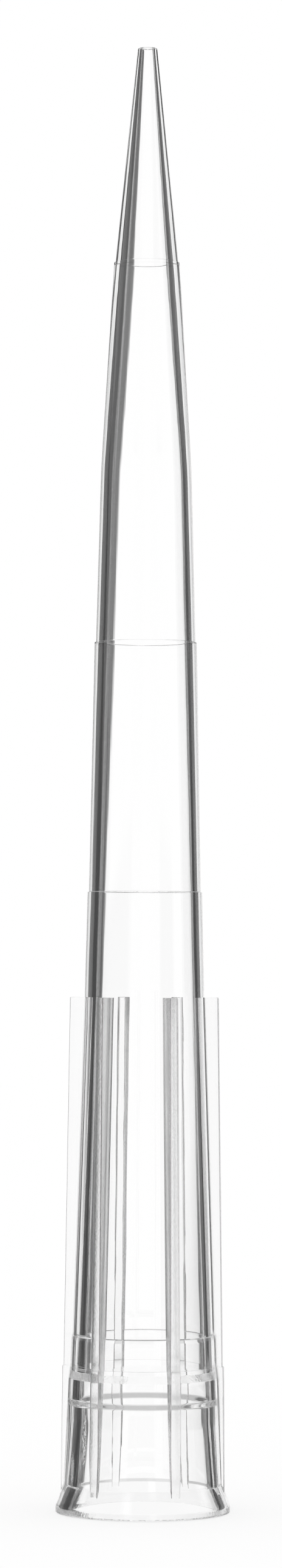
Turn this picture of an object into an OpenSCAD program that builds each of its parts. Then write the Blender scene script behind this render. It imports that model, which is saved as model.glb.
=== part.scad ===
// Ribbed pipette tip of clear polypropylene, moulded in one piece.
// It stands on its flared rim with the orifice up: the origin is at the
// centre of the rim, +Z runs along the axis to the orifice, and the
// dimensions are in millimetres.

/* [Overall] */
// Length from the rim to the orifice
length = 60; // [59:0.5:70]
// Outer diameter of the flared rim
rim_d = 7.13; // [7:0.01:8]

/* [Orifice] */
// Outer diameter of the cone at the orifice
orifice_outer_d = 0.8; // [0.7:0.01:1]
// Bore diameter at the orifice
orifice_bore_d = 0.46; // [0.3:0.01:0.6]
// Rounding of the orifice's outer edge
orifice_round = 0.05; // [0.02:0.01:0.1]

/* [Cone outside] */
// Outer diameter on the orifice side of the 10 microlitre ring
ring_10_d = 2.59; // [2.4:0.01:2.7]
// Outer diameter at the knee, where the cone grows steeper
knee_d = 3.72; // [3.6:0.01:3.8]
// Outer diameter on the orifice side of the 100 microlitre ring
ring_100_d = 4.1; // [4:0.01:4.2]
// Outer diameter on the orifice side of the 200 microlitre ring
ring_200_d = 4.59; // [4.5:0.01:4.7]
// Outer diameter of the cone level with the tops of the ribs
rib_top_cone_d = 4.91; // [4.85:0.01:5]
// Radial height of each graduation ring's step
ring_step = 0.055; // [0.02:0.005:0.06]
// Length of the bevel on each graduation ring's step
ring_bevel = 0.015; // [0.01:0.005:0.1]

/* [Places along the cone, from the orifice] */
// Distance of the 10 microlitre ring
ring_10_from_orifice = 8.86; // [8:0.01:10]
// Distance of the knee
knee_from_orifice = 17.35; // [15:0.01:20]
// Distance of the 100 microlitre ring
ring_100_from_orifice = 24.5; // [22:0.01:27]
// Distance of the 200 microlitre ring
ring_200_from_orifice = 34.73; // [30:0.01:36]

/* [Bore] */
// Bore diameter at the knee
knee_bore_d = 2.916; // [2.8:0.002:3]
// Bore diameter at the small end of the shoulder
shoulder_bore_d = 4.92; // [4.8:0.01:5]

/* [Socket] */
// Height of the small end of the shoulder above the rim
shoulder_top = 5.69; // [5.6:0.01:5.8]
// Height of the wide end of the shoulder, where the relief groove begins
shoulder_foot = 5.39; // [5.3:0.01:5.45]
// Diameter of the relief groove at the shoulder
groove_top_d = 5.28; // [5.2:0.01:5.36]
// Diameter of the relief groove next to the ledge
groove_foot_d = 5.33; // [5.2:0.01:5.36]
// Height at which the groove meets the ledge
ledge_top = 4.57; // [4.5:0.01:4.7]
// Height at which the ledge meets the sealing land
ledge_foot = 4.35; // [4.25:0.01:4.45]
// Diameter of the sealing land that grips the pipette's cone
land_d = 5.132; // [5.1:0.002:5.2]
// Length of the sealing land
land_length = 0.77; // [0.4:0.01:1]
// Bore diameter at the kink, where the mouth begins to flare
kink_bore_d = 5.48; // [5.4:0.01:5.6]
// Height of the kink in the bore
kink_bore_z = 1.01; // [0.9:0.01:1.1]
// Bore diameter at the rim
mouth_d = 6.24; // [6:0.01:6.3]

/* [Collar outside] */
// Height of the collar ring
collar_ring_z = 7.2; // [6.8:0.01:8]
// Outer diameter on the orifice side of the collar ring
collar_ring_d = 5.79; // [5.75:0.01:5.85]
// Radial height of the collar ring's step
collar_ring_step = 0.04; // [0.02:0.01:0.06]
// Length of the bevel on the collar ring's step
collar_ring_bevel = 0.04; // [0.02:0.01:0.2]
// Height of the parting step between the two halves of the mould
parting_z = 5.92; // [5.85:0.01:6.2]
// Outer diameter on the orifice side of the parting step
parting_d = 5.974; // [5.93:0.002:6.02]
// Radial height of the parting step on the wall
parting_step = 0.015; // [0.01:0.005:0.02]
// Outer diameter level with the wide end of the shoulder
shoulder_outer_d = 6.13; // [6.1:0.01:6.2]
// Outer diameter at the kink, where the flare begins
kink_outer_d = 6.47; // [6.45:0.01:6.6]
// Height of the kink on the outside
kink_outer_z = 1.12; // [1.1:0.01:1.2]
// Height at which the flare reaches the rim's full diameter
rim_height = 0.27; // [0.25:0.01:0.5]

/* [Ribs] */
// Number of ribs
rib_count = 6; // [3:1:8]
// Angle of the first rib from the -Y direction
rib_turn = 23.5; // [0:0.5:60]
// Height of the tops of the ribs above the rim
rib_top_z = 20.95; // [16:0.01:22]
// Outer diameter across the ribs at their tops
rib_top_d = 6.1; // [5.6:0.01:6.3]
// Outer diameter across the ribs on the orifice side of the parting step
rib_parting_d = 6.51; // [6.3:0.01:6.6]
// Radial height of the parting step on the ribs
rib_parting_step = 0.05; // [0.01:0.01:0.06]
// Outer diameter across the ribs where they run into the flare
rib_foot_d = 6.69; // [6.64:0.01:6.8]
// Thickness of a rib where it leaves the wall
rib_root_w = 0.52; // [0.45:0.01:0.6]
// Draft angle of a rib's sides, which makes it thinner towards its face
rib_draft = 8; // [2:0.5:12]
// Thickness of a rib where it runs into the flare
rib_foot_w = 0.38; // [0.3:0.01:0.45]
// Height above which a rib has its full thickness
rib_full_z = 3.3; // [2:0.1:5]

/* [Hidden] */
$fn = 128;
ARC_STEPS = 6;
RIM_ROUND = 0.1;
MOUTH_BREAK = 0.03;
RIB_BURY = 0.2;
RIB_REACH = 1;
RUN_OVERLAP = 0.1;
CUT = 1;
ring_10_z = length - ring_10_from_orifice;
knee_z = length - knee_from_orifice;
ring_100_z = length - ring_100_from_orifice;
ring_200_z = length - ring_200_from_orifice;
land_foot = ledge_foot - land_length;
orifice_taper = atan2((ring_10_d - orifice_outer_d) / 2, ring_10_from_orifice);
rib_pitch = 360 / rib_count;
clear_natural = [0.9, 0.92, 0.93, 0.45];

// Points of a circular arc about [x, z], from angle a to angle b
function arc(x, z, r, a, b) =
    [for (i = [0 : ARC_STEPS]) let (t = a + (b - a) * i / ARC_STEPS) [x + r * cos(t), z + r * sin(t)]];

// Two points of a bevelled step outwards, read from the orifice down
function step_out(d, z, rise, bevel) = [[d / 2, z], [d / 2 + rise, z - bevel]];

// Half section of the outside, from the axis at the orifice to the axis at the rim
function outer_section() = concat(
    [[0, length]],
    arc(orifice_outer_d / 2 - orifice_round, length - orifice_round, orifice_round, 90, orifice_taper),
    step_out(ring_10_d, ring_10_z, ring_step, ring_bevel),
    [[knee_d / 2, knee_z]],
    step_out(ring_100_d, ring_100_z, ring_step, ring_bevel),
    step_out(ring_200_d, ring_200_z, ring_step, ring_bevel),
    [[rib_top_cone_d / 2, rib_top_z]],
    step_out(collar_ring_d, collar_ring_z, collar_ring_step, collar_ring_bevel),
    [[parting_d / 2, parting_z],
     [parting_d / 2 + parting_step, parting_z],
     [shoulder_outer_d / 2, shoulder_foot],
     [kink_outer_d / 2, kink_outer_z],
     [rim_d / 2, rim_height]],
    arc(rim_d / 2 - RIM_ROUND, RIM_ROUND, RIM_ROUND, 0, -90),
    [[0, 0]]);

// Half section of the bore, past both ends of the wall
function bore_section() = [
    [0, length + CUT],
    [orifice_bore_d / 2, length + CUT],
    [orifice_bore_d / 2, length],
    [knee_bore_d / 2, knee_z],
    [shoulder_bore_d / 2, shoulder_top],
    [groove_top_d / 2, shoulder_foot],
    [groove_foot_d / 2, ledge_top],
    [land_d / 2, ledge_foot],
    [land_d / 2, land_foot],
    [kink_bore_d / 2, kink_bore_z],
    [mouth_d / 2, MOUTH_BREAK],
    [mouth_d / 2 + MOUTH_BREAK, 0],
    [mouth_d / 2 + MOUTH_BREAK, -CUT],
    [0, -CUT]];

// Half section of the space that the ribs fill out to their faces
function rib_section() = [
    [0, rib_top_z],
    [rib_top_d / 2, rib_top_z],
    [rib_parting_d / 2, parting_z],
    [rib_parting_d / 2 + rib_parting_step, parting_z],
    [rib_foot_d / 2, kink_outer_z],
    [rib_foot_d / 2, rim_height],
    [0, rim_height]];

// Half the thickness of a rib at a height above the wall
function rib_half(above) = rib_root_w / 2 - above * tan(rib_draft);

// One rib up a straight run of the wall, from radius low_r at height low_z
// to radius high_r at height high_z, and on below that run by the length given
module rib_run(low_r, low_z, high_r, high_z, below) {
    translate([0, -low_r, low_z])
        rotate([-atan2(low_r - high_r, high_z - low_z), 0, 0])
            translate([0, 0, -below])
                linear_extrude(height = norm([low_r - high_r, high_z - low_z]) + below)
                    polygon([
                        [-rib_half(-RIB_BURY), RIB_BURY],
                        [rib_half(-RIB_BURY), RIB_BURY],
                        [rib_half(RIB_REACH), -RIB_REACH],
                        [-rib_half(RIB_REACH), -RIB_REACH]]);
}

// One rib's outline seen from in front, narrower at its foot
module rib_front() {
    foot = rib_foot_w / 2;
    root = rib_root_w / 2;
    clear = rib_root_w;
    polygon([
        [-foot, rim_height],
        [foot, rim_height],
        [foot, kink_outer_z],
        [root, rib_full_z],
        [clear, rib_full_z],
        [clear, rib_top_z + CUT],
        [-clear, rib_top_z + CUT],
        [-clear, rib_full_z],
        [-root, rib_full_z],
        [-foot, kink_outer_z]]);
}

// One rib along -Y, not yet trimmed to its face
module rib() {
    ring_r = collar_ring_d / 2;
    intersection() {
        union() {
            rib_run(kink_outer_d / 2, kink_outer_z,
                ring_r + collar_ring_step, collar_ring_z, kink_outer_z - rim_height);
            rib_run(ring_r, collar_ring_z, rib_top_cone_d / 2, rib_top_z, RUN_OVERLAP);
        }
        rotate([90, 0, 0]) linear_extrude(height = rim_d / 2) rib_front();
    }
}

// All the ribs, trimmed to the tapering envelope of their faces
module ribs() {
    intersection() {
        rotate_extrude() polygon(rib_section());
        union() {
            for (i = [0 : rib_count - 1])
                rotate(rib_turn + i * rib_pitch) rib();
        }
    }
}

// The whole tip: the wall and its ribs, with the bore through both
module tip_body() {
    color(clear_natural)
        difference() {
            union() {
                rotate_extrude() polygon(outer_section());
                ribs();
            }
            rotate_extrude() polygon(bore_section());
        }
}

tip_body();
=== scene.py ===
"""A clear pipette tip, moulded in one piece, standing on its flared rim.

The wall, its ribs and its bore are one closed mesh, built from the same
dimensions as the CAD solid but with finer curves, soft corners and the
small faults of a real moulding. All lengths below are in millimetres.
"""

import functools
import math

import bpy
import numpy as np
from mathutils import Matrix


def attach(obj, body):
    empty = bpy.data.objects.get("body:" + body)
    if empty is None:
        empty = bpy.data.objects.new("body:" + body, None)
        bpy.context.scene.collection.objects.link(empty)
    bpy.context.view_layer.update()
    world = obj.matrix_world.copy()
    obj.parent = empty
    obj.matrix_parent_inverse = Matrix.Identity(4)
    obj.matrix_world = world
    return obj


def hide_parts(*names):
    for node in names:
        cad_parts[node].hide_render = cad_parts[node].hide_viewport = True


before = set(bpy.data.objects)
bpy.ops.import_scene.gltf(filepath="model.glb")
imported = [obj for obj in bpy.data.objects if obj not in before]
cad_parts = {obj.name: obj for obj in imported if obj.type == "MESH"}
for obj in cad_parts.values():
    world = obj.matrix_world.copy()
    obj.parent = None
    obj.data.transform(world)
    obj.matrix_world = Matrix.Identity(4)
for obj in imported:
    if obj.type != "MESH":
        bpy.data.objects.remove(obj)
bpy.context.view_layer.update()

MM = 0.001
WHITE = (1.0, 1.0, 1.0, 1.0)

RIB_TOP = 20.95
RIB_TOP_WALL = 2.455  # radius of the wall there

# The wall's outside from the base to the orifice: (radius, height, how far the corner's
# rounding reaches along each side, how matte the surface is from there to the next point)
OUTSIDE = [
    (3.465, 0.0, 0.0, 1.0),
    (3.565, 0.0, 0.08, 0.6),
    (3.565, 0.27, 0.04, 0.03),
    (3.235, 1.12, 0.02, 0.0),
    (3.065, 5.39, 0.1, 0.0),
    (3.002, 5.92, 0.004, 0.0),
    (2.987, 5.92, 0.004, 0.0),
    (2.945, 7.03, 0.03, 0.0),
    (2.92, 7.17, 0.02, 0.0),
    (2.893, 7.2, 0.006, 0.0),
    (RIB_TOP_WALL, RIB_TOP, 0.0, 0.0),
    (2.351, 25.25, 0.003, 0.0),
    (2.296, 25.265, 0.003, 0.0),
    (2.103, 35.485, 0.003, 0.0),
    (2.048, 35.5, 0.003, 0.0),
    (1.86, 42.65, 0.8, 0.0),
    (1.35, 51.12, 0.003, 0.0),
    (1.295, 51.135, 0.003, 0.0),
    (0.4, 60.0, 0.05, 0.0),
    (0.3, 60.0, 0.0, 0.0),
]

# The same for the bore, from the orifice to the base
BORE = [
    (0.3, 60.0, 0.0, 0.0),
    (0.23, 60.0, 0.015, 0.0),
    (1.458, 42.65, 0.8, 0.0),
    (2.46, 5.69, 0.02, 0.5),
    (2.641, 5.39, 0.02, 0.0),
    (2.663, 4.57, 0.05, 0.2),
    (2.566, 4.35, 0.04, 0.0),
    (2.566, 3.58, 0.15, 0.0),
    (2.741, 1.01, 0.02, 0.05),
    (3.12, 0.03, 0.01, 1.0),
    (3.15, 0.0, 0.0, 1.0),
]
# How far the core stood off the axis in the mould, towards +X: (height, distance).
# Below the first height the distance stays the same.
BORE_SHIFT = [(42.65, 0.03), (60.0, 0.0)]
CORNER_STEPS = 4
CORNER_SHARE = 0.45  # a corner's curve takes at most this share of the run on either side
SUPPORT = 0.03  # a row this far from each corner keeps the straight runs flat

RIB_COUNT = 6
RIB_TURN = 23.5  # degrees from -Y to the first rib
RIB_HALF_ROOT = 0.26  # half a rib's thickness where it leaves the wall
RIB_HALF_FOOT = 0.19  # the same where it runs into the flare
RIB_FULL = (1.11, 3.3)  # heights between which it widens to its full thickness
RIB_DRAFT = math.tan(math.radians(8))
RIB_FACES = [(3.347, 1.11), (3.305, 5.91), (3.255, 5.93), (3.052, RIB_TOP)]  # radius, height
RIB_EDGE = 0.035  # rounding along a rib's face
RIB_EDGE_DEGREES = (30, 60, 90)  # points round that edge
RIB_EDGE_WEAR = 0.25
RIB_SIDE_MATTE = 0.7
RIB_SIDE_STEPS = (0.08, 0.5, 1.0)  # shares of the way from the wall to the face
RIB_FACE_MATTE = 0.8
RIB_FACE_WEAR = 0.12
RIB_FACE_STEPS = (0.75, 0.4, 0.0)  # shares of the face's half width, from its edge inwards
# The rounding of a rib's top, in edge radii: (distance below the top, distance in from the face)
RIB_TOP_ROUND = ((1.0, 0.0), (0.3, 0.3), (0.0, 1.0))
RIB_PROUD = 0.02  # a rib is as matte and worn as it gets once it stands this far off the wall
RIB_FOOT = 0.7  # below this height there is only the flare
FLARE_TOP = 1.2  # just above the kink where the flare begins
LONGEST_STEP = 1.5  # between two rows
RIB_FOOT_STEP = 0.035  # the same between RIB_FOOT and FLARE_TOP, where the ribs run out
WALL_STEPS = 42  # columns of the wall between two ribs
SAME_HEIGHT = 1e-6
MATTE_GRAIN = 0.8  # how worn a fully matte part of the turned surfaces is
SHARP_DEGREES = 32  # faces that meet at more than this keep a sharp edge
FLAT_WEIGHT = 80  # how strongly large faces set the shading of their corners


def rounded(points):
    """The profile with a short curve at each corner and a supporting row beside it."""
    rows = [np.array(points[0])[[0, 1, 3]]]
    for before, (r, z, reach, matte), after in zip(points, points[1:], points[2:]):
        corner = np.array([r, z, 0.0])
        if reach == 0:
            rows.append(corner + [0, 0, matte])
            continue
        ways = []
        for other in (before, after):
            way = np.array([other[0] - r, other[1] - z, 0.0])
            ways.append((way / np.linalg.norm(way), np.linalg.norm(way)))
        (back, back_len), (on, on_len) = ways
        reach = min(reach, CORNER_SHARE * back_len, CORNER_SHARE * on_len)
        start, end = corner + back * reach, corner + on * reach
        if back_len > 2 * (reach + SUPPORT):
            rows.append(start + back * SUPPORT + [0, 0, before[3]])
        for i in range(CORNER_STEPS + 1):
            t = i / CORNER_STEPS
            level = before[3] + (matte - before[3]) * t
            rows.append((1 - t) ** 2 * start + 2 * t * (1 - t) * corner + t**2 * end + [0, 0, level])
        if on_len > 2 * (reach + SUPPORT):
            rows.append(end + on * SUPPORT + [0, 0, matte])
    rows.append(np.array(points[-1])[[0, 1, 3]])
    return rows


def subdivided(rows, longest_low=LONGEST_STEP):
    """The same rows with more between them, at most longest_low apart where the ribs run out."""
    out = [rows[0]]
    for a, b in zip(rows, rows[1:]):
        limit = longest_low if RIB_FOOT < max(a[1], b[1]) < FLARE_TOP else LONGEST_STEP
        n = max(1, math.ceil(np.linalg.norm(b - a) / limit))
        out += [a + (b - a) * (i + 1) / n for i in range(n)]
    return out


def rib_radius(z):
    """Radius of the ribs' faces at height z."""
    radii, heights = zip(*RIB_FACES)
    return float(np.interp(z, heights, radii))


def rib_half(wall_r, face_r, z):
    """Half of a rib's section from the wall to the middle of its face: (out, across, matte, worn)."""
    root = float(np.interp(z, RIB_FULL, (RIB_HALF_FOOT, RIB_HALF_ROOT)))
    face = min(root, RIB_HALF_ROOT - RIB_DRAFT * (rib_radius(z) - wall_r))
    foot, shoulder = math.sqrt(wall_r**2 - root**2), face_r - RIB_EDGE
    points = [(foot, root, RIB_SIDE_MATTE, 0.0)]
    for t in RIB_SIDE_STEPS:
        across = root + (face - root) * t
        points.append((foot + (shoulder - foot) * t, across, RIB_SIDE_MATTE, 0.0))
    for degrees in RIB_EDGE_DEGREES:
        t = math.radians(degrees)
        out, across = shoulder + RIB_EDGE * math.sin(t), face - RIB_EDGE * (1 - math.cos(t))
        points.append((out, across, 1.0, RIB_EDGE_WEAR))
    flat_half = points[-1][1]
    points += [(face_r, flat_half * t, RIB_FACE_MATTE, RIB_FACE_WEAR) for t in RIB_FACE_STEPS]
    return points


def rib_points(wall_r, face_r, z):
    """A rib's section across its whole width as (radius, angle, matte, worn), nowhere inside the wall."""
    half = []
    for out, across, matte, worn in rib_half(wall_r, face_r, z):
        radius, angle = math.hypot(out, across), math.atan2(across, out)
        proud = min(1.0, max(0.0, (radius - wall_r) / RIB_PROUD))
        half.append((max(radius, wall_r), angle, matte * proud, worn * proud))
    return [(r, -a, m, w) for r, a, m, w in half] + half[-2::-1]


def outline(wall_r, z, face_r=None):
    """One closed row of (radius, angle, matte, worn): each rib and the wall after it.

    Without face_r the row has no ribs, but the same columns in the same directions.
    """
    if face_r is None:
        rib = rib_points(RIB_TOP_WALL, rib_radius(RIB_TOP), RIB_TOP)
        rib = [(wall_r, angle, 0.0, 0.0) for _, angle, _, _ in rib]
    else:
        rib = rib_points(wall_r, face_r, z)
    out = []
    for i in range(RIB_COUNT):
        middle = math.radians(RIB_TURN + i * 360 / RIB_COUNT)
        out += [(r, middle + a, m, w) for r, a, m, w in rib]
        start, end = rib[-1][1], math.radians(360 / RIB_COUNT) + rib[0][1]
        for j in range(1, WALL_STEPS):
            out.append((wall_r, middle + start + (end - start) * j / WALL_STEPS, 0.0, 0.0))
    return out


def place(ring, z, matte=0.0, shift=0.0):
    """A row's points in space with their matte and worn; angle 0 points to -Y and turns towards +X."""
    grain = MATTE_GRAIN * matte**2
    return [
        (r * math.sin(a) + shift, -r * math.cos(a), z, max(m, matte), max(w, grain))
        for r, a, m, w in ring
    ]


def body_rows():
    """Every row of the tip: up the outside with its ribs, then back down the bore."""
    rows = []
    outside = subdivided(rounded(OUTSIDE), RIB_FOOT_STEP)
    radii, heights, _ = zip(*outside)
    for r, z, matte in outside:
        if abs(z - RIB_TOP) < SAME_HEIGHT:
            for drop, back in RIB_TOP_ROUND:
                level = RIB_TOP - RIB_EDGE * drop
                wall = float(np.interp(level, heights, radii))
                face = rib_radius(RIB_TOP) - RIB_EDGE * back
                rows.append(place(outline(wall, level, face), level))
        ribbed = RIB_FOOT < z < RIB_TOP - SAME_HEIGHT
        rows.append(place(outline(r, z, rib_radius(z) if ribbed else None), z, matte))
    shift_heights, shifts = zip(*BORE_SHIFT)
    for r, z, matte in subdivided(rounded(BORE))[1:]:
        shift = float(np.interp(z, shift_heights, shifts))
        rows.append(place(outline(r, z), z, matte, shift))
    return rows


def grid_mesh(name, rows):
    """A closed mesh from closed rows, the last joined to the first."""
    across = len(rows[0])
    values = np.array(rows, dtype=float).reshape(-1, 5)
    points = values[:, :3] * MM
    faces = []
    for i in range(len(rows)):
        low, high = i * across, (i + 1) % len(rows) * across
        for j in range(across):
            k = (j + 1) % across
            faces.append((low + j, low + k, high + k, high + j))
    mesh = bpy.data.meshes.new(name)
    mesh.from_pydata(points.tolist(), [], faces)
    for i, layer in enumerate(("matte", "worn"), start=3):
        mesh.attributes.new(layer, "FLOAT", "POINT").data.foreach_set("value", values[:, i].copy())
    mesh.polygons.foreach_set("use_smooth", [True] * len(mesh.polygons))
    mesh.set_sharp_from_angle(angle=math.radians(SHARP_DEGREES))
    mesh.update()
    return mesh


def new_object(name, data):
    """A new object in the scene that shows the given mesh or camera."""
    made = bpy.data.objects.new(name, data)
    bpy.context.scene.collection.objects.link(made)
    return made


POLYPROPYLENE_IOR = 1.49
FULLY_MATTE = 0.3  # roughness of a fully matte surface
# Polishing lines along the tip
LINE_SCALE = 12000
LINE_STRETCH = 0.01
LINE_DEPTH = 0.0006
# Pits where the surface is worn
PIT_SCALE = 9000
PIT_DEPTH = 0.04
# Scuffs on the outside: (angle from -Y, height, half width, half length, depth)
SCUFFS = [(-63, 1.8, 0.2, 0.9, 1.0), (-49, 3.1, 0.16, 1.2, 0.9)]
SCUFF_CORE = 0.4  # share of a scuff's size that has its full depth
WALL_RADII, WALL_HEIGHTS = zip(*[point[:2] for point in OUTSIDE[2:]])


def clear_plastic():
    """Clear polypropylene, duller where the mesh is matte and pitted where it is worn."""
    mat = bpy.data.materials.new("clear_polypropylene")
    mat.use_nodes = True
    nodes, links = mat.node_tree.nodes, mat.node_tree.links
    shader = nodes["Principled BSDF"]
    shader.inputs["Base Color"].default_value = WHITE
    shader.inputs["IOR"].default_value = POLYPROPYLENE_IOR
    shader.inputs["Transmission Weight"].default_value = 1.0
    position = nodes.new("ShaderNodeTexCoord").outputs["Object"]

    def layer(name):
        """One of the mesh's own layers."""
        node = nodes.new("ShaderNodeAttribute")
        node.attribute_name = name
        return node.outputs["Fac"]

    def larger(first, second):
        node = nodes.new("ShaderNodeMath")
        node.operation = "MAXIMUM"
        links.new(first, node.inputs[0])
        links.new(second, node.inputs[1])
        return node.outputs[0]

    def noise(vector, scale, detail):
        node = nodes.new("ShaderNodeTexNoise")
        node.inputs["Scale"].default_value = scale
        node.inputs["Detail"].default_value = detail
        links.new(vector, node.inputs["Vector"])
        return node.outputs["Fac"]

    def bump(height, depth):
        node = nodes.new("ShaderNodeBump")
        node.inputs["Distance"].default_value = depth * MM
        links.new(height, node.inputs["Height"])
        return node

    def scuff(angle, height, width, length, depth):
        """A long patch that fades out at its edge."""
        radius = float(np.interp(height, WALL_HEIGHTS, WALL_RADII))
        turned = math.radians(angle)
        middle = (radius * math.sin(turned), -radius * math.cos(turned), height)
        patch = nodes.new("ShaderNodeMapping")
        patch.vector_type = "TEXTURE"
        patch.inputs["Location"].default_value = [v * MM for v in middle]
        patch.inputs["Scale"].default_value = (width * MM, width * MM, length * MM)
        links.new(position, patch.inputs["Vector"])
        away = nodes.new("ShaderNodeVectorMath")
        away.operation = "LENGTH"
        links.new(patch.outputs["Vector"], away.inputs[0])
        fade = nodes.new("ShaderNodeMapRange")
        fade.inputs["From Min"].default_value = 1.0
        fade.inputs["From Max"].default_value = SCUFF_CORE
        fade.inputs["To Max"].default_value = depth
        links.new(away.outputs["Value"], fade.inputs["Value"])
        return fade.outputs["Result"]

    scuffed = functools.reduce(larger, [scuff(*spot) for spot in SCUFFS])

    rough = nodes.new("ShaderNodeMapRange")
    rough.inputs["To Max"].default_value = FULLY_MATTE
    links.new(larger(layer("matte"), scuffed), rough.inputs["Value"])
    links.new(rough.outputs[0], shader.inputs["Roughness"])

    stretch = nodes.new("ShaderNodeMapping")
    stretch.inputs["Scale"].default_value = (1, 1, LINE_STRETCH)
    links.new(position, stretch.inputs["Vector"])
    polished = bump(noise(stretch.outputs["Vector"], LINE_SCALE, 1), LINE_DEPTH)
    pitted = bump(noise(position, PIT_SCALE, 3), PIT_DEPTH)
    links.new(larger(layer("worn"), scuffed), pitted.inputs["Strength"])
    links.new(polished.outputs["Normal"], pitted.inputs["Normal"])
    links.new(pitted.outputs["Normal"], shader.inputs["Normal"])
    return mat


tip = new_object("tip", grid_mesh("tip", body_rows()))
tip.data.materials.append(clear_plastic())
shading = tip.modifiers.new("flat runs", "WEIGHTED_NORMAL")
shading.mode = "FACE_AREA"
shading.weight = FLAT_WEIGHT
shading.keep_sharp = True
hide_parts("tip_body")
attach(tip, "root")


def ramp(nodes, stops):
    """A colour ramp right round the horizon through the given (degrees, level) stops."""
    node = nodes.new("ShaderNodeValToRGB")
    elements = node.color_ramp.elements
    while len(elements) > 1:
        elements.remove(elements[-1])
    for i, (degrees, level) in enumerate(stops):
        at = (degrees + 180) / 360
        element = elements[0] if i == 0 else elements.new(at)
        element.position = at
        element.color = (level, level, level, 1)
    return node


# The cards round the tip, as the plastic shows them by refraction and reflection. Each list
# goes right round at one height: (degrees from +Y towards +X, level), where 1 is white.
# The first two are the dark cards behind the tip, which other lists take up. The lists named
# VIEWS set cards for other looks too: level with the tip, from a little above, from high above.
LEFT_CARD = [(-73, 0.08), (-46, 0.06), (-17.2, 0.08), (-16.2, 1)]
RIGHT_CARD = [(22.6, 1), (24.0, 0.13), (31, 0.12), (40, 0.06), (52, 0.04), (61, 0.1)]
MAIN_VIEW = [
    (-180, 1), (-145, 1), (-140, 0.35), (-76, 0.35), *LEFT_CARD,
    *RIGHT_CARD, (67, 0.25), (140, 0.25), (145, 1), (180, 1),
]
UPPER_VIEW = [(-180, 1), (-76, 1), *LEFT_CARD, *RIGHT_CARD, (67, 1), (180, 1)]
ABOVE_MAIN = [
    (-180, 1), (-145, 1), (-140, 0.5), (-17, 0.5), (-15, 1),
    (23, 1), (25, 0.5), (140, 0.5), (145, 1), (180, 1),
]
LEVEL_VIEWS = [
    (-180, 1), (-145, 1), (-140, 0.3), (-108, 0.3), (-106, 1), (-76, 1), *LEFT_CARD,
    *RIGHT_CARD, (67, 0.25), (140, 0.25), (145, 1), (180, 1),
]
LOW_VIEWS = [
    (-180, 0.1), (-157, 0.1), (-154, 1), (-76, 1), (-73, 0.3), (-17, 0.3), (-15, 0.78),
    (22, 0.78), (24, 0.3), (64, 0.35), (67, 0.1), (115, 0.1), (118, 1), (152, 1), (155, 0.1), (180, 0.1),
]
BELOW_MAIN = [
    (-180, 0.6), (-76, 0.6), (-73, 0.2), (-62, 0.2), (-60, 0.8), (-30, 0.8), (-28, 0.2),
    (-17, 0.2), (-15, 0.55), (23, 0.55), (25, 0.2),
    (61, 0.2), (67, 0.6), (115, 0.6), (118, 1), (152, 1), (155, 0.6), (180, 0.6),
]
HIGH_VIEWS = [
    (-180, 1), (-116, 1), (-113, 0.1), (-65, 0.1), (-62, 1),
    (-28, 1), (-25, 0.1), (23, 0.1), (26, 1), (180, 1),
]
STEEP = [
    (-180, 0.3), (-165.5, 0.3), (-164.5, 1), (-151.5, 1), (-150.5, 0.3),
    (-62, 0.3), (-60, 1), (28, 1), (33, 0.3), (180, 0.3),
]
# Which cards stand at which heights: (degrees above the horizon, how softly they begin, cards)
HEIGHTS = [
    (-89, 0.5, STEEP), (-28.5, 0.5, HIGH_VIEWS), (-23.3, 0.5, BELOW_MAIN), (-16, 0.3, LOW_VIEWS),
    (-10.5, 1.5, MAIN_VIEW), (-5, 0.5, LEVEL_VIEWS), (-1, 0.5, UPPER_VIEW),
    (18, 3, ABOVE_MAIN), (30, 5, STEEP),
]
# The cards' upright edges lean towards +X by this much for each degree of height, up to
# the limit, which is in degrees
CARD_LEAN = 0.45
LEAN_LIMIT = 10


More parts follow.
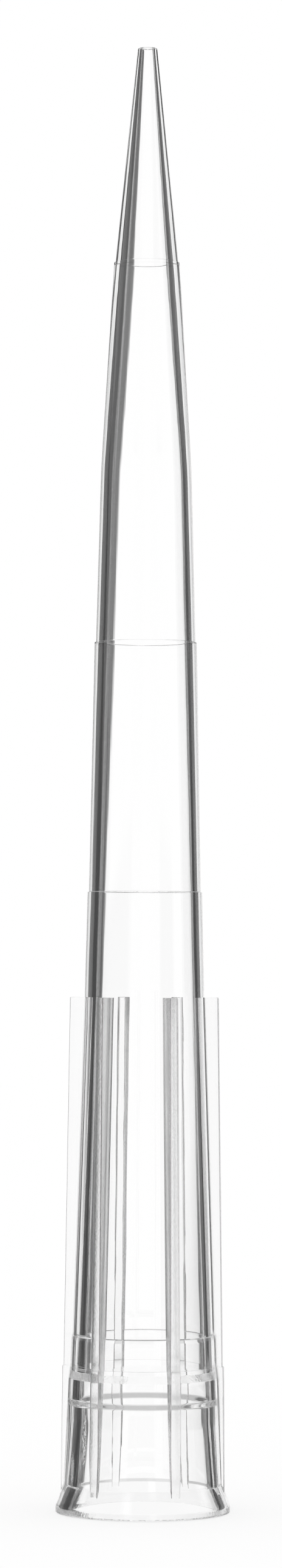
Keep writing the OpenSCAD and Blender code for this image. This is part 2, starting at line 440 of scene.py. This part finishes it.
def room():
    """The world: the cards for reflected and refracted rays, and plain white for all others."""
    world = bpy.data.worlds.new("room")
    bpy.context.scene.world = world
    world.use_nodes = True
    nodes, links = world.node_tree.nodes, world.node_tree.links
    background = nodes["Background"]
    background.inputs["Strength"].default_value = 1.0
    direction = nodes.new("ShaderNodeTexCoord")
    split = nodes.new("ShaderNodeSeparateXYZ")
    links.new(direction.outputs["Generated"], split.inputs[0])
    azimuth = nodes.new("ShaderNodeMath")
    azimuth.operation = "ARCTAN2"
    links.new(split.outputs["X"], azimuth.inputs[0])
    links.new(split.outputs["Y"], azimuth.inputs[1])
    turn = nodes.new("ShaderNodeMapRange")
    turn.inputs["From Min"].default_value = -math.pi
    turn.inputs["From Max"].default_value = math.pi
    lean = nodes.new("ShaderNodeMapRange")
    highest = math.radians(LEAN_LIMIT)
    lean.inputs["From Min"].default_value = -highest
    lean.inputs["From Max"].default_value = highest
    lean.inputs["To Min"].default_value = CARD_LEAN * highest
    lean.inputs["To Max"].default_value = -CARD_LEAN * highest
    links.new(split.outputs["Z"], lean.inputs["Value"])
    leaning = nodes.new("ShaderNodeMath")
    links.new(azimuth.outputs[0], leaning.inputs[0])
    links.new(lean.outputs["Result"], leaning.inputs[1])
    links.new(leaning.outputs[0], turn.inputs["Value"])

    def above(degrees, soft):
        """Rises from 0 to 1 where the direction passes that height above the horizon."""
        edge = nodes.new("ShaderNodeMapRange")
        edge.interpolation_type = "SMOOTHSTEP"
        edge.inputs["From Min"].default_value = math.sin(math.radians(degrees - soft))
        edge.inputs["From Max"].default_value = math.sin(math.radians(degrees + soft))
        links.new(split.outputs["Z"], edge.inputs["Value"])
        return edge.outputs["Result"]

    def blend(factor, low, high):
        """The colour low where the factor is 0 and high where it is 1; each is a colour or a socket."""
        mix = nodes.new("ShaderNodeMix")
        mix.data_type = "RGBA"
        links.new(factor, mix.inputs["Factor"])
        for socket, value in ((mix.inputs[6], low), (mix.inputs[7], high)):
            if isinstance(value, tuple):
                socket.default_value = value
            else:
                links.new(value, socket)
        return mix.outputs[2]

    cards = WHITE
    for degrees, soft, stops in HEIGHTS:
        node = ramp(nodes, stops)
        links.new(turn.outputs[0], node.inputs[0])
        cards = blend(above(degrees, soft), cards, node.outputs[0])
    path = nodes.new("ShaderNodeLightPath")
    bent = nodes.new("ShaderNodeMath")
    bent.operation = "MAXIMUM"
    links.new(path.outputs["Is Glossy Ray"], bent.inputs[0])
    links.new(path.outputs["Is Transmission Ray"], bent.inputs[1])
    links.new(blend(bent.outputs[0], WHITE, cards), background.inputs["Color"])


room()


FLOOR_WHITE = 0.75  # share of the floor's look that is plain white, which keeps the shadow faint
FLOOR_HALF = 600
FLOOR_DROP = 0.02  # the floor lies this far below the rim


def floor():
    """A matte white floor that only the camera and diffuse light see."""
    mesh = bpy.data.meshes.new("floor")
    half = FLOOR_HALF * MM
    corners = [(-half, -half, 0), (half, -half, 0), (half, half, 0), (-half, half, 0)]
    mesh.from_pydata(corners, [], [(0, 1, 2, 3)])
    made = new_object("floor", mesh)
    made.location.z = -FLOOR_DROP * MM
    mat = bpy.data.materials.new("pale_floor")
    mat.use_nodes = True
    nodes, links = mat.node_tree.nodes, mat.node_tree.links
    shader = nodes["Principled BSDF"]
    shader.inputs["Base Color"].default_value = WHITE
    shader.inputs["Roughness"].default_value = 1.0
    shader.inputs["Specular IOR Level"].default_value = 0.0
    glow = nodes.new("ShaderNodeEmission")
    glow.inputs["Strength"].default_value = 1.0
    mix = nodes.new("ShaderNodeMixShader")
    path = nodes.new("ShaderNodeLightPath")
    share = nodes.new("ShaderNodeMath")
    share.operation = "MULTIPLY"
    share.inputs[1].default_value = FLOOR_WHITE
    links.new(path.outputs["Is Camera Ray"], share.inputs[0])
    links.new(share.outputs[0], mix.inputs[0])
    links.new(shader.outputs[0], mix.inputs[1])
    links.new(glow.outputs[0], mix.inputs[2])
    links.new(mix.outputs[0], nodes["Material Output"].inputs["Surface"])
    mesh.materials.append(mat)
    made.visible_transmission = False
    made.visible_glossy = False


floor()

# The camera: close, nearly level, turned up and rolled a little (the angles are in degrees)
CAMERA_DISTANCE = 199.13
CAMERA_HEIGHT = 23.05
CAMERA_ASIDE = -0.17
CAMERA_PITCH = 1.908
CAMERA_ROLL = 0.2
CAMERA_LENS = 111.6
CAMERA_SENSOR = 36
CAMERA_CLIP = (0.01, 10)  # metres


def camera():
    """The scene's camera, in front of the tip and turned up to it."""
    data = bpy.data.cameras.new("camera")
    made = new_object("camera", data)
    data.sensor_width = CAMERA_SENSOR
    data.lens = CAMERA_LENS
    data.clip_start, data.clip_end = CAMERA_CLIP
    made.location = (CAMERA_ASIDE * MM, -CAMERA_DISTANCE * MM, CAMERA_HEIGHT * MM)
    made.rotation_mode = "XYZ"
    turn = (
        Matrix.Rotation(math.radians(90 + CAMERA_PITCH), 4, "X")
        @ Matrix.Rotation(math.radians(CAMERA_ROLL), 4, "Z")
    )
    made.rotation_euler = turn.to_euler()
    bpy.context.scene.camera = made


camera()

# Light that enters a rib runs up and down the wall before it leaves, so its paths are long
BOUNCES = 48

scene = bpy.context.scene
scene.view_settings.view_transform = "Standard"
scene.cycles.max_bounces = BOUNCES
scene.cycles.transmission_bounces = BOUNCES
scene.cycles.glossy_bounces = BOUNCES
